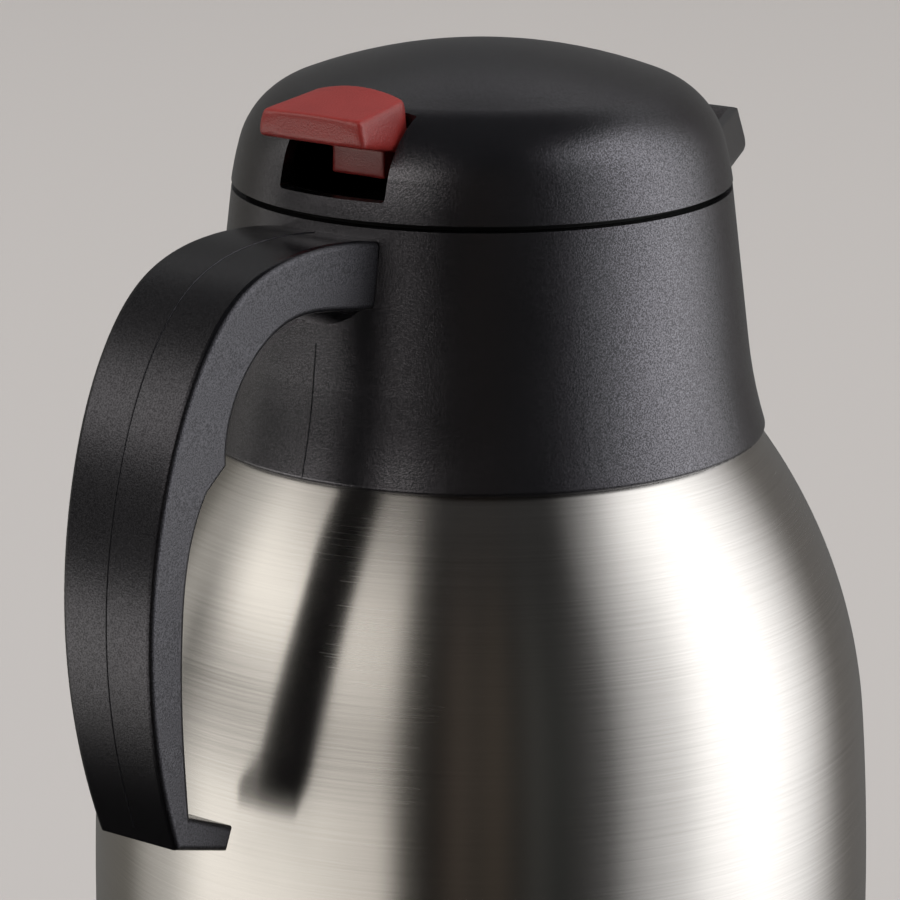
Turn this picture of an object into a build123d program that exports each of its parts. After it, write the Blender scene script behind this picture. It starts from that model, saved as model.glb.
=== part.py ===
from build123d import *
import os
from math import asin, atan2, cos, radians, sin, sqrt

# Thermal carafe: a vacuum steel body, a moulded shoulder collar with pouring beak and
# handle, and a screw-in lid whose thumb lever opens a spring-closed valve.
# Millimetres, +Z up, origin at the centre of the foot. The beak points to +X, the handle to -X.

# ---------------------------------------------------------------- driving dimensions
# Heights are above the foot; a "drop" is measured down from the lid seam.
seam_z = 225.0              # parting line between the collar and the lid
seam_gap = 1.2              # visible shadow gap at that line
fit_gap = 0.1               # between mouldings that are pushed together
shaft_clearance = 0.05      # radial, between a shaft and its bore
rest_gap = 0.2              # between pieces that only meet and part again
cut_margin = 1.0            # how far a cut or a test reaches past the form it is for

# steel body
body_reach = 28.4           # from the collar's rim out to the body's widest radius
widest_z = 82.0
barrel_arc_r = 514.0        # slow curve of the lower wall
shoulder_start_z = 121.5
shell_wall = 0.8
liner_wall = 0.8
vacuum_gap = 6.0
shell_base_r = 5.5          # bend at the foot of the shell
liner_floor_z = 15.0
liner_base_r = 14.0
liner_floor_weld_z = 30.0
liner_wall_weld_z = 112.0
liner_neck_weld_z = 178.0
neck_inset = 10.7           # from the collar's top radius to the outside of the steel neck
neck_lining = 3.5           # from there to the neck's bore
mouth_drop = 24.0
neck_bend_r = 3.5

# foot
foot_height = 1.6           # how far the rubber ring lifts the shell
foot_inset = 20.0           # from the body's widest radius to the ring's outside
foot_width = 6.6
plate_wall = 0.8
plate_overlap = 4.5
plate_recess = 4.0
plate_step = 1.0            # clear of the ring's inner side
vacuum_cap_r = 9.0
vacuum_cap_height = 1.4

# collar
collar_top_r = 47.2
collar_height = 46.9
collar_break_drop = 29.7    # below this the wall flares, measured from the collar's top
collar_lean = 3.5           # widening of the straight wall
collar_flare = 6.9          # widening down to the lip
collar_lip_cover = 1.4      # how far the lip stands out over the steel shoulder
collar_lip_round = 1.0
collar_lip_height = 1.1     # short upright land below the flare
collar_wall = 2.4
lid_seat_depth = 3.4        # the lid sits this far down inside the collar's rim
lid_seat_wall = 2.6
lid_clearance = 0.4         # around the lid cover where it stands over the collar
sleeve_gap = 0.25           # between the sleeve and the steel neck
sleeve_drop = 29.5
pour_ring_inset = 2.0       # from the neck's outside to the opening around the stopper

# pouring beak
beak_reach = 33.3           # beyond the collar's top radius
beak_tip_half_w = 4.4
beak_root_inset = 3.2
beak_root_half_w = 22.0
beak_rim_rise = 2.8         # rim above the seam
beak_nose_bulge = 2.4
beak_side_bulge = 2.2       # how far the walls lean out below the rim
hull_slope = 1.6            # the walls fall in this much per mm below the nose
beak_nose_drop = 5.6
beak_under_drop = 7.8
beak_keel_depth = 1.2       # keel below the underside at the tip
beak_keel_fall = 7.5       # from there to the collar
beak_belly_drop = 25.0      # where the underside meets the collar
beak_wall = 2.0
beak_round = 2.5
channel_half_w = 8.5
tunnel_reach = 3.0          # how far the tunnel breaks out beyond the collar's wall
tunnel_slope = 1.5
channel_sole = 1.2          # floor above the beak's underside, where it starts to sweep up
channel_end_back = 14.0     # from the tip, where the floor starts to sweep up to the rim
beak_belly_sag = 0.1       # share of the belly's height taken up by its curve

# neck ring and mouth gasket
gasket_height = 1.5
neck_ring_height = 8.0
neck_ring_chamfer = 0.8

# handle: points are (reach beyond the collar's top radius, drop below the seam)
handle_half_w_top = 12.0
handle_half_w_foot = 9.3
handle_top_edge = [(-0.7, 2.6), (18.8, 1.2), (37.3, 6.3), (48.3, 18.2), (56.4, 37.4), (60.1, 62.0)]
handle_heel = (53.0, 102.8)
handle_foot_sole = (39.4, 106.9)
handle_foot_tip = (37.7, 102.6)
handle_foot_corner = (49.4, 97.6)
handle_grip_edge = [(51.0, 80.0), (51.1, 62.0), (48.6, 46.5), (45.0, 39.4)]
handle_step = (40.0, 35.6)
handle_throat_edge = [(37.0, 23.3), (31.8, 17.4), (23.4, 13.3), (10.8, 13.6)]
handle_root_drop = 15.2
handle_edge_round = 1.2
handle_boss_half_w = 10.5
handle_boss_drop = 20.0
handle_boss_reach = 20.8
handle_boss_tip_drop = 7.0
handle_boss_tip_half_h = 4.4
handle_boss_tip_taper = 2.0
cover_thickness = 2.2
cover_margin = 2.4
cover_end_margin = 3.0
pocket_depth = 3.6

# lid cover
dome_lean = 8.8             # degrees, lean of the wall where it leaves the seam
dome_side_arc_r = 68.0
dome_shoulder_lean = 15.3   # degrees, where the side arc runs into the corner arc
dome_corner_arc_r = 16.7
dome_crown_arc_r = 99.4
dome_wall = 2.4
window_half_w = 12.1
window_sill = 4.0           # above the seam
window_depth = 11.7         # inwards from the collar's top radius
window_corner_r = 0.8

# stopper
deck_wall = 2.4
deck_seal_height = 0.9
deck_seal_margin = 0.8      # inside the seat's wall
deck_seal_width = 4.2
spigot_rise = 3.4
spigot_wall = 2.4
plug_gap = 2.5              # between the plug and the steel neck
plug_wall = 2.4
plug_drop = 38.0
valve_seat_r = 13.5
port_count = 6
port_width = 15.0
port_sill_drop = 13.2
port_head = 0.8
lip_groove_depth = 1.2
lip_height = 4.4
lip_gap = 0.3               # the lips are drawn relaxed, clear of the steel neck
lip_drop = 33.5             # lower side of the groove
lip_thickness = 0.8

# valve
rod_r = 2.5
rod_tip_drop = 45.0
spring_well_r = 6.2
spring_well_drop = 15.0
guide_wall = 2.2
gland_drop = 20.0
gland_r = 4.6
gland_wall = 1.4
cap_r = 5.8
cap_thickness = 2.0
cap_rise = 5.6
cap_hub_r = 3.6
cap_hub_length = 4.5
spring_r = 4.9
spring_wire = 0.9
spring_turns = 6
spring_wire_sides = 8       # the wire is drawn eight-sided to keep its mesh light
valve_gasket_r = 16.5
valve_gasket_height = 2.0
valve_plate_r = 15.4
valve_plate_height = 2.4
clip_r = 5.0
clip_thickness = 0.8
clip_depth = 0.5

# thumb lever
pivot_x = 26.0
pivot_rise = 9.0
pivot_pin_r = 1.5
pivot_eye_r = 4.2
lever_half_w = 5.5
lever_low_rise = 7.0
lever_high_rise = 11.5
nose_r = 2.2
nose_gap = 0.3
stem_lap = 1.4              # how far the stem reaches under the pad
stem_thickness = 5.0
stem_half_w = 6.0
stem_low_rise = 6.4
stem_high_rise = 15.0
pad_overhang = 4.0          # beyond the collar's top radius
pad_gap = 0.5               # between the pad and the window's inner side
pad_half_w_outer = 12.6
pad_half_w_inner = 11.2
pad_low_rise = 11.6
pad_low_rise_outer = 14.6
pad_outer_rise = 19.7
pad_inner_rise = 23.0
pad_crown_inner = 1.7
pad_crown_outer = 0.3
pad_round = 0.9
ear_gap = 0.3
ear_wall = 2.4
ear_spread = 2.0
pin_stub = 0.4
pin_chamfer = 0.3

# screws
lid_screw_count = 4
lid_screw_inset = 8.2       # from the seat's wall to the screws' circle
lid_screw_start = 45.0      # degrees from the beak
lid_screw_r = 1.4
lid_screw_head_r = 2.9
lid_screw_length = 9.0
lid_boss_r = 3.5
handle_screw_r = 1.6
handle_screw_head_r = 3.2
handle_screw_head_height = 2.0
handle_screw_length = 14.0
handle_screw_drop = 11.0
handle_screw_half_pitch = 5.2
handle_screw_seat_inset = 3.2   # flat pads inside the collar that the heads bear on
handle_screw_seat_depth = 2.6
handle_screw_seat_r = 4.2

# ---------------------------------------------------------------- derived levels
body_r = collar_top_r + body_reach   # 75.6 at the widest level
collar_top_z = seam_z - seam_gap / 2
collar_base_z = collar_top_z - collar_height
dome_base_z = seam_z + seam_gap / 2
mouth_z = seam_z - mouth_drop
seat_z = collar_top_z - lid_seat_depth
deck_z = seat_z + deck_seal_height + fit_gap
deck_top_z = deck_z + deck_wall
seat_r = collar_top_r - lid_seat_wall
seat_floor_z = seat_z - collar_wall
gasket_z = mouth_z + liner_wall
neck_ring_z = gasket_z + gasket_height
neck_ring_top_z = neck_ring_z + neck_ring_height
plug_base_z = seam_z - plug_drop
foot_outer_r = body_r - foot_inset
neck_r = collar_top_r - neck_inset
mouth_r = neck_r - neck_lining
sleeve_bore_r = neck_r + sleeve_gap
pour_ring_r = neck_r - pour_ring_inset
neck_ring_bore_r = mouth_r + rest_gap
collar_break_r = collar_top_r + collar_lean
collar_lip_r = collar_top_r + collar_flare
beak_tip_x = collar_top_r + beak_reach
beak_root_x = collar_top_r - beak_root_inset
plug_r = mouth_r - plug_gap
lip_reach_r = mouth_r - lip_gap
deck_seal_r = seat_r - deck_seal_margin
lid_screw_circle_r = seat_r - lid_screw_inset
window_inner_x = collar_top_r - window_depth
pad_outer_x = collar_top_r + pad_overhang
pad_inner_x = window_inner_x + pad_gap
stem_outer_x = pad_inner_x + stem_lap
stem_inner_x = stem_outer_x - stem_thickness
handle_screw_seat_x = collar_top_r - handle_screw_seat_inset
far = 3 * body_r            # longer than any cut needs
handle_screw_z = seam_z - handle_screw_drop
handle_screw_seats = [
    Location((-handle_screw_seat_x, side * handle_screw_half_pitch, handle_screw_z), (0, -90, 0))
    for side in (-1, 1)
]
profile_plane = Plane.XZ    # half sections are drawn here and turned about Z


def save(piece, name):
    """Label a finished piece and write its file."""
    piece.part.label = name
    export_step(piece.part, f"parts/{name}.step")


os.makedirs("parts", exist_ok=True)

# ---------------------------------------------------------------- steel body
# The wall is two tangent arcs: a slow barrel curve, and a tighter shoulder that meets the
# collar's lip.
barrel_x = body_r - barrel_arc_r
joint_angle = asin((shoulder_start_z - widest_z) / barrel_arc_r)
joint_normal = Vector(cos(joint_angle), sin(joint_angle))
joint_point = Vector(barrel_x, widest_z) + barrel_arc_r * joint_normal
lip_point = Vector(collar_lip_r - collar_lip_cover, collar_base_z)
joint_to_lip = lip_point - joint_point
shoulder_arc_r = -joint_to_lip.dot(joint_to_lip) / (2 * joint_to_lip.dot(joint_normal))
shoulder_x = joint_point.X - shoulder_arc_r * joint_normal.X
shoulder_z = joint_point.Y - shoulder_arc_r * joint_normal.Y


def barrel_point(inset, z):
    """A point of the lower wall, moved inwards by inset."""
    return (barrel_x + sqrt((barrel_arc_r - inset) ** 2 - (z - widest_z) ** 2), z)


def shoulder_point(inset, radius):
    """The point of the shoulder arc, moved inwards by inset, at a radius from the axis."""
    return (radius, shoulder_z + sqrt((shoulder_arc_r - inset) ** 2 - (radius - shoulder_x) ** 2))


def vessel_outline(inset, floor_z, floor_bend, neck, top_z):
    """Half section of a closed bottle whose wall lies inset inside the body's wall."""
    joint = (joint_point.X - inset * joint_normal.X, joint_point.Y - inset * joint_normal.Y)
    start = barrel_point(inset, floor_z)
    neck_foot = shoulder_point(inset, neck)
    with BuildSketch(profile_plane) as outline:
        with BuildLine():
            Line((0, floor_z), start)
            ThreePointArc(start, barrel_point(inset, (floor_z + joint[1]) / 2), joint)
            ThreePointArc(joint, shoulder_point(inset, (joint[0] + neck) / 2), neck_foot)
            Polyline(neck_foot, (neck, top_z), (0, top_z), (0, floor_z))
        make_face()
        corner = outline.vertices().sort_by_distance(start)[0]
        fillet(corner, floor_bend)
        throat = outline.vertices().sort_by_distance(neck_foot)[0]
        fillet(throat, neck_bend_r)
    return outline.sketch


with BuildPart() as shell_wall_part:
    add(vessel_outline(0, foot_height, shell_base_r, neck_r, mouth_z))
    revolve(axis=Axis.Z)
    add(vessel_outline(shell_wall, foot_height + shell_wall, shell_base_r - shell_wall,
                       neck_r - shell_wall, mouth_z))
    revolve(axis=Axis.Z, mode=Mode.SUBTRACT)
    with Locations((0, 0, foot_height)):
        Cylinder(foot_outer_r + fit_gap, 2 * shell_wall, mode=Mode.SUBTRACT)

# The shell is drawn as a barrel and a shoulder, welded edge to edge and brushed flush.
shell_weld = Plane.XY.offset(shoulder_start_z)
with BuildPart() as outer_shell:
    add(shell_wall_part)
    split(bisect_by=shell_weld, keep=Keep.BOTTOM)
save(outer_shell, "outer_shell")

with BuildPart() as outer_shoulder:
    add(shell_wall_part)
    split(bisect_by=shell_weld, keep=Keep.TOP)
save(outer_shoulder, "outer_shoulder")

liner_inset = shell_wall + vacuum_gap
liner_neck_r = mouth_r + liner_wall
with BuildPart() as liner_wall_part:
    add(vessel_outline(liner_inset, liner_floor_z - liner_wall, liner_base_r, liner_neck_r, mouth_z))
    revolve(axis=Axis.Z)
    with Locations((0, 0, mouth_z)):
        Cylinder(neck_r, liner_wall, align=(Align.CENTER, Align.CENTER, Align.MIN))
    add(vessel_outline(liner_inset + liner_wall, liner_floor_z, liner_base_r - liner_wall,
                       mouth_r, gasket_z))
    revolve(axis=Axis.Z, mode=Mode.SUBTRACT)

# The liner is four pressings welded edge to edge: a dished floor, a wall, a shoulder, and a
# neck with its flange.
floor_weld = Plane.XY.offset(liner_floor_weld_z)
wall_weld = Plane.XY.offset(liner_wall_weld_z)
neck_weld = Plane.XY.offset(liner_neck_weld_z)
with BuildPart() as liner_floor:
    add(liner_wall_part)
    split(bisect_by=floor_weld, keep=Keep.BOTTOM)
save(liner_floor, "liner_floor")

with BuildPart() as inner_liner:
    add(liner_wall_part)
    split(bisect_by=floor_weld, keep=Keep.TOP)
    split(bisect_by=wall_weld, keep=Keep.BOTTOM)
save(inner_liner, "inner_liner")

with BuildPart() as liner_shoulder:
    add(liner_wall_part)
    split(bisect_by=wall_weld, keep=Keep.TOP)
    split(bisect_by=neck_weld, keep=Keep.BOTTOM)
save(liner_shoulder, "liner_shoulder")

with BuildPart() as liner_neck:
    add(liner_wall_part)
    split(bisect_by=neck_weld, keep=Keep.TOP)
save(liner_neck, "liner_neck")

# ---------------------------------------------------------------- foot
plate_z = foot_height + shell_wall
plate_r = foot_outer_r + plate_overlap
plate_dish_r = foot_outer_r - foot_width - plate_step
with BuildPart() as base_plate:
    with BuildSketch(profile_plane):
        with BuildLine():
            Polyline(
                (0, plate_z + plate_recess),
                (plate_dish_r - plate_recess, plate_z + plate_recess),
                (plate_dish_r, plate_z),
                (plate_r, plate_z),
                (plate_r, plate_z + plate_wall),
                (plate_dish_r + plate_wall / 2, plate_z + plate_wall),
                (plate_dish_r + plate_wall / 2 - plate_recess, plate_z + plate_recess + plate_wall),
                (0, plate_z + plate_recess + plate_wall),
                close=True,
            )
        make_face()
    revolve(axis=Axis.Z)
save(base_plate, "base_plate")

with BuildPart() as vacuum_cap:
    with Locations((0, 0, plate_z + plate_recess)):
        Cylinder(vacuum_cap_r, vacuum_cap_height, align=(Align.CENTER, Align.CENTER, Align.MAX))
    fillet(vacuum_cap.edges().sort_by(Axis.Z)[0], vacuum_cap_height / 2)
save(vacuum_cap, "vacuum_cap")

with BuildPart() as foot_ring:
    with BuildSketch(Plane.XY):
        Circle(foot_outer_r)
        Circle(foot_outer_r - foot_width, mode=Mode.SUBTRACT)
    extrude(amount=plate_z)
    fillet(foot_ring.edges().group_by(Axis.Z)[0], foot_height / 3)
save(foot_ring, "foot_ring")

# ---------------------------------------------------------------- collar
collar_break_z = collar_top_z - collar_break_drop
beak_rim_z = seam_z + beak_rim_rise
beak_belly_z = seam_z - beak_belly_drop
nose_x = beak_tip_x + beak_nose_bulge
nose_z = seam_z - beak_nose_drop
under_z = seam_z - beak_under_drop
beak_slope = (beak_root_half_w - beak_tip_half_w) / (beak_tip_x - beak_root_x)
tip_keel_z = under_z - beak_keel_depth
keel_slope = beak_keel_fall / (beak_tip_x - beak_root_x)


def collar_outline(growth):
    """Half section of the collar's outer form, filled to the axis and grown sideways."""
    with BuildSketch(profile_plane) as outline:
        with BuildLine():
            top = Line((0, collar_top_z), (collar_top_r + growth, collar_top_z))
            wall = Line(top @ 1, (collar_break_r + growth, collar_break_z))
            lip = (collar_lip_r + growth, collar_base_z + collar_lip_height)
            flare = TangentArc(wall @ 1, lip, tangent=wall % 1)
            Polyline(flare @ 1, (collar_lip_r + growth, collar_base_z), (0, collar_base_z), top @ 0)
        make_face()
        lip_edge = outline.vertices().sort_by_distance((collar_lip_r + growth, collar_base_z))[0]
        fillet(lip_edge, collar_lip_round)
    return outline.sketch


def beak_section(x, upper_z, wall):
    """Cross-section of the beak's hull, or of the channel that lies a wall's thickness inside it."""
    rim_half_w = beak_tip_half_w + beak_slope * (beak_tip_x - x)
    keel_z = tip_keel_z - keel_slope * (beak_tip_x - x) + wall
    if wall:
        side_wall = wall * sqrt(1 + beak_slope ** 2)
        hull_wall = wall * sqrt(1 + hull_slope ** 2)
        bend_half_w = rim_half_w - side_wall
        rim_half_w = bend_half_w
        bend_z = nose_z - (beak_side_bulge + side_wall - hull_wall) / hull_slope
    else:
        bend_half_w = rim_half_w + beak_side_bulge
        bend_z = nose_z
    keel_half_w = bend_half_w - hull_slope * (bend_z - keel_z)
    with BuildSketch(Plane.YZ.offset(x)) as section:
        with BuildLine():
            Polyline(
                (-rim_half_w, upper_z), (-bend_half_w, bend_z), (-keel_half_w, keel_z),
                (keel_half_w, keel_z), (bend_half_w, bend_z), (rim_half_w, upper_z), close=True,
            )
        make_face()
    return section.sketch


with BuildPart() as beak:
    # the walls lean out from the rim to the nose's level and fall in to a keel below it
    for section_x in (sleeve_bore_r, nose_x + 0.5):
        add(beak_section(section_x, beak_rim_z, 0))
    loft()
    with BuildSketch(profile_plane):
        with BuildLine():
            belly = ThreePointArc(
                (sleeve_bore_r - cut_margin, beak_belly_z),
                ((collar_top_r + nose_x) / 2, under_z - beak_belly_sag * (under_z - beak_belly_z)),
                (nose_x - (nose_z - under_z), under_z),
            )
            nose = TangentArc(belly @ 1, (nose_x, nose_z), tangent=belly % 1)
            rim_end = (sleeve_bore_r - cut_margin, beak_rim_z)
            Polyline(nose @ 1, (beak_tip_x, beak_rim_z), rim_end, belly @ 0)
        make_face()
    extrude(amount=far, both=True, mode=Mode.INTERSECT)
    outer_edges = beak.edges().filter_by_position(Axis.X, sleeve_bore_r + cut_margin, far)
    sides = outer_edges.filter_by(lambda edge: abs(edge.center().Y) > cut_margin)
    fillet(sides.filter_by_position(Axis.Z, 0, beak_rim_z - cut_margin), beak_round)

with BuildPart() as trough:
    # open part, outside the collar's wall
    for section_x in (sleeve_bore_r, nose_x + 0.5):
        add(beak_section(section_x, seam_z + far, beak_wall))
    loft()
    with Locations((0, 0, seam_z)):
        Cylinder(collar_top_r + lid_clearance, far, mode=Mode.SUBTRACT)
    with BuildSketch(profile_plane):
        with BuildLine():
            floor = Line((collar_top_r, neck_ring_top_z + tunnel_slope),
                         (beak_tip_x - channel_end_back, under_z + channel_sole))
            ramp = TangentArc(floor @ 1, (beak_tip_x - beak_wall, beak_rim_z), tangent=floor % 1)
            Polyline(ramp @ 1, (ramp @ 1) + (0, far), (floor @ 0) + (0, far), floor @ 0)
        make_face()
    extrude(amount=far, both=True, mode=Mode.INTERSECT)
    # tunnel through the collar, from the ring around the stopper
    tunnel_end_r = collar_top_r + tunnel_reach
    with BuildSketch(profile_plane):
        with BuildLine():
            Polyline(
                (pour_ring_r, neck_ring_top_z), (sleeve_bore_r + collar_wall, neck_ring_top_z),
                (tunnel_end_r, neck_ring_top_z + tunnel_slope), (tunnel_end_r, seat_floor_z),
                (pour_ring_r, seat_floor_z), close=True,
            )
        make_face()
    extrude(amount=channel_half_w, both=True)

with BuildPart() as collar:
    add(collar_outline(0))
    revolve(axis=Axis.Z)
    # hollow between the wall and the sleeve
    with BuildSketch(profile_plane):
        with BuildLine():
            inner_top = (collar_top_r - collar_wall, seat_floor_z)
            inner_break = (collar_break_r - collar_wall, collar_break_z)
            inner_lip = (collar_lip_r - collar_wall, collar_base_z - cut_margin)
            sleeve_r = sleeve_bore_r + collar_wall
            Polyline(inner_top, inner_break, inner_lip, (sleeve_r, collar_base_z - cut_margin),
                     (sleeve_r, seat_floor_z), close=True)
        make_face()
    revolve(axis=Axis.Z, mode=Mode.SUBTRACT)
    add(beak.part)
    # stopper opening, lid seat and clearance for the lid cover
    with Locations((0, 0, seat_floor_z)):
        Cylinder(sleeve_bore_r, far, align=(Align.CENTER, Align.CENTER, Align.MAX), mode=Mode.SUBTRACT)
    with Locations((0, 0, seat_z)):
        Cylinder(seat_r, far, align=(Align.CENTER, Align.CENTER, Align.MIN), mode=Mode.SUBTRACT)
        Cylinder(pour_ring_r, 3 * collar_wall, mode=Mode.SUBTRACT)
    with Locations((0, 0, collar_top_z)):
        Cylinder(collar_top_r + lid_clearance, far, align=(Align.CENTER, Align.CENTER, Align.MIN),
                 mode=Mode.SUBTRACT)
    add(trough.part, mode=Mode.SUBTRACT)
    # the sleeve stops above the steel shoulder, and the lip lies on it
    with BuildSketch(Plane.XY.offset(seam_z - sleeve_drop)):
        Circle(sleeve_r + fit_gap)
    extrude(amount=-far, mode=Mode.SUBTRACT)
    add(vessel_outline(-fit_gap, foot_height, shell_base_r, neck_r + fit_gap, mouth_z))
    revolve(axis=Axis.Z, mode=Mode.SUBTRACT)
    # flat pads and holes for the handle's screws
    for location in handle_screw_seats:
        with Locations(location):
            Cylinder(handle_screw_seat_r, handle_screw_seat_depth,
                     align=(Align.CENTER, Align.CENTER, Align.MIN))
            Cylinder(handle_screw_r + fit_gap, handle_screw_length,
                     align=(Align.CENTER, Align.CENTER, Align.MIN), mode=Mode.SUBTRACT)
save(collar, "collar")

with BuildPart() as mouth_gasket:
    with BuildSketch(Plane.XY.offset(gasket_z)):
        Circle(neck_r)
        Circle(mouth_r + rest_gap, mode=Mode.SUBTRACT)
    extrude(amount=gasket_height)
save(mouth_gasket, "mouth_gasket")

with BuildPart() as neck_ring:
    with BuildSketch(Plane.XY.offset(neck_ring_z)):
        Circle(sleeve_bore_r - shaft_clearance)
        Circle(neck_ring_bore_r, mode=Mode.SUBTRACT)
    extrude(amount=neck_ring_height)
    chamfer(neck_ring.edges().group_by(Axis.Z)[-1].sort_by(SortBy.RADIUS)[0], neck_ring_chamfer)
save(neck_ring, "neck_ring")


# ---------------------------------------------------------------- handle
def at(point):
    """A handle point (reach beyond the collar's top radius, drop below the seam) in the XZ plane."""
    return (-collar_top_r - point[0], seam_z - point[1])


def handle_half_w(drop):
    """Half width of the handle at a drop below the seam."""
    taper = (handle_half_w_top - handle_half_w_foot) / handle_heel[1]
    return handle_half_w_top - taper * drop


def cover_band(inner, outer, end_margin, side_margin):
    """A strip along the grip's inner edge, between two depths into the handle."""
    grip_points = [handle_foot_corner] + handle_grip_edge
    low_z = seam_z - handle_foot_corner[1] + end_margin
    high_z = seam_z - handle_grip_edge[-1][1] - end_margin
    with BuildPart() as band:
        with BuildSketch(profile_plane):
            with BuildLine():
                near = Spline([at((x + inner, drop)) for x, drop in grip_points])
                deep = Spline([at((x + outer, drop)) for x, drop in grip_points])
                Line(near @ 0, deep @ 0)
                Line(near @ 1, deep @ 1)
            make_face()
        extrude(amount=handle_half_w_foot - side_margin, both=True)
        with Locations((0, 0, low_z)):
            Box(far, far, high_z - low_z, align=(Align.CENTER, Align.CENTER, Align.MIN),
                mode=Mode.INTERSECT)
    return band.part


with BuildPart() as handle_arm:
    with BuildSketch(profile_plane):
        with BuildLine():
            back = Spline([at(p) for p in handle_top_edge + [handle_heel]])
            Polyline(back @ 1, at(handle_foot_sole), at(handle_foot_tip), at(handle_foot_corner))
            grip = Spline([at(p) for p in [handle_foot_corner] + handle_grip_edge])
            Line(grip @ 1, at(handle_step))
            root_low = (handle_top_edge[0][0], handle_root_drop)
            throat = Spline([at(p) for p in [handle_step] + handle_throat_edge + [root_low]])
            Line(throat @ 1, back @ 0)
        make_face()
    extrude(amount=handle_half_w_top + cut_margin, both=True)
    with BuildSketch(Plane.YZ):
        top_z = seam_z
        low_drop = 2 * handle_foot_sole[1]
        with BuildLine():
            Polyline(
                (-handle_half_w(0), top_z), (handle_half_w(0), top_z),
                (handle_half_w(low_drop), seam_z - low_drop),
                (-handle_half_w(low_drop), seam_z - low_drop), close=True,
            )
        make_face()
    extrude(amount=far, both=True, mode=Mode.INTERSECT)
    # soften every long edge apart from those that end inside the collar
    root_x = at(handle_top_edge[0])[0] - cut_margin
    outer_edges = handle_arm.edges().filter_by_position(Axis.X, -far, root_x)
    flank_y = handle_half_w_foot - cut_margin
    fillet(outer_edges.filter_by(lambda edge: abs(edge.center().Y) > flank_y), handle_edge_round)
    # rounded boss that carries the root on the collar
    boss_half_h = (handle_boss_drop - handle_top_edge[0][1]) / 2
    with BuildSketch(Plane.YZ.offset(at(handle_top_edge[0])[0])):
        with Locations((0, seam_z - handle_boss_drop + boss_half_h)):
            Ellipse(handle_boss_half_w, boss_half_h)
    with BuildSketch(Plane.YZ.offset(-collar_top_r - handle_boss_reach)):
        with Locations((0, seam_z - handle_boss_tip_drop)):
            Ellipse(handle_boss_half_w - handle_boss_tip_taper, handle_boss_tip_half_h)
    loft()
    add(collar_outline(fit_gap))
    revolve(axis=Axis.Z, mode=Mode.SUBTRACT)
    for location in handle_screw_seats:
        with Locations(location):
            Cylinder(handle_screw_r, handle_screw_length, align=(Align.CENTER, Align.CENTER, Align.MIN),
                     mode=Mode.SUBTRACT)
    # rebate and pocket behind the inner cover
    add(cover_band(-cover_thickness, cover_thickness, cover_end_margin, cover_margin), mode=Mode.SUBTRACT)
    add(cover_band(0, cover_thickness + pocket_depth, 2 * cover_end_margin, 2 * cover_margin),
        mode=Mode.SUBTRACT)
save(handle_arm, "handle_arm")

with BuildPart() as handle_cover:
    add(cover_band(0, cover_thickness, cover_end_margin + fit_gap, cover_margin + fit_gap))
save(handle_cover, "handle_cover")

with BuildPart() as handle_screws:
    for location in handle_screw_seats:
        with Locations(location):
            Cylinder(handle_screw_head_r, handle_screw_head_height,
                     align=(Align.CENTER, Align.CENTER, Align.MAX))
            Cylinder(handle_screw_r, handle_screw_length, align=(Align.CENTER, Align.CENTER, Align.MIN))
save(handle_screws, "handle_screws")

# ---------------------------------------------------------------- lid cover
# Three tangent arcs: a side that leans in, a tight corner and a flat crown.
lean = radians(dome_lean)
shoulder_lean = radians(dome_shoulder_lean)
side_x = collar_top_r - dome_side_arc_r * cos(lean)
side_z = dome_base_z - dome_side_arc_r * sin(lean)
corner_x = side_x + (dome_side_arc_r - dome_corner_arc_r) * cos(shoulder_lean)
corner_z = side_z + (dome_side_arc_r - dome_corner_arc_r) * sin(shoulder_lean)
crown_z = corner_z - sqrt((dome_crown_arc_r - dome_corner_arc_r) ** 2 - corner_x ** 2)
brow_lean = atan2(corner_z - crown_z, corner_x)
upright = radians(90)


def side_radius(inset, z):
    """Radius of the cover's wall at a height, moved inwards by inset."""
    return side_x + sqrt((dome_side_arc_r - inset) ** 2 - (z - side_z) ** 2)


def dome_section(inset, base_z):
    """Half section under the cover's curve, moved inwards by inset and closed at base_z."""
    def arc_point(centre_x, centre_z, radius, angle):
        return (centre_x + (radius - inset) * cos(angle), centre_z + (radius - inset) * sin(angle))

    base_angle = asin((base_z - side_z) / (dome_side_arc_r - inset))
    foot = arc_point(side_x, side_z, dome_side_arc_r, base_angle)
    side = arc_point(side_x, side_z, dome_side_arc_r, (base_angle + shoulder_lean) / 2)
    shoulder = arc_point(side_x, side_z, dome_side_arc_r, shoulder_lean)
    corner = arc_point(corner_x, corner_z, dome_corner_arc_r, (shoulder_lean + brow_lean) / 2)
    brow = arc_point(corner_x, corner_z, dome_corner_arc_r, brow_lean)
    crown = arc_point(0, crown_z, dome_crown_arc_r, (brow_lean + upright) / 2)
    top = (0, crown_z + dome_crown_arc_r - inset)
    with BuildSketch(profile_plane) as section:
        with BuildLine():
            ThreePointArc(foot, side, shoulder)
            ThreePointArc(shoulder, corner, brow)
            ThreePointArc(brow, crown, top)
            Polyline(top, (0, base_z), foot)
        make_face()
    return section.sketch


lid_screw_places = PolarLocations(lid_screw_circle_r, lid_screw_count, start_angle=lid_screw_start)

with BuildPart() as lid_bosses:
    with BuildSketch(Plane.XY.offset(deck_top_z)):
        with Locations(lid_screw_places.locations):
            Circle(lid_boss_r)
    extrude(amount=far)
    add(dome_section(dome_wall / 2, deck_top_z))
    revolve(axis=Axis.Z, mode=Mode.INTERSECT)

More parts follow.
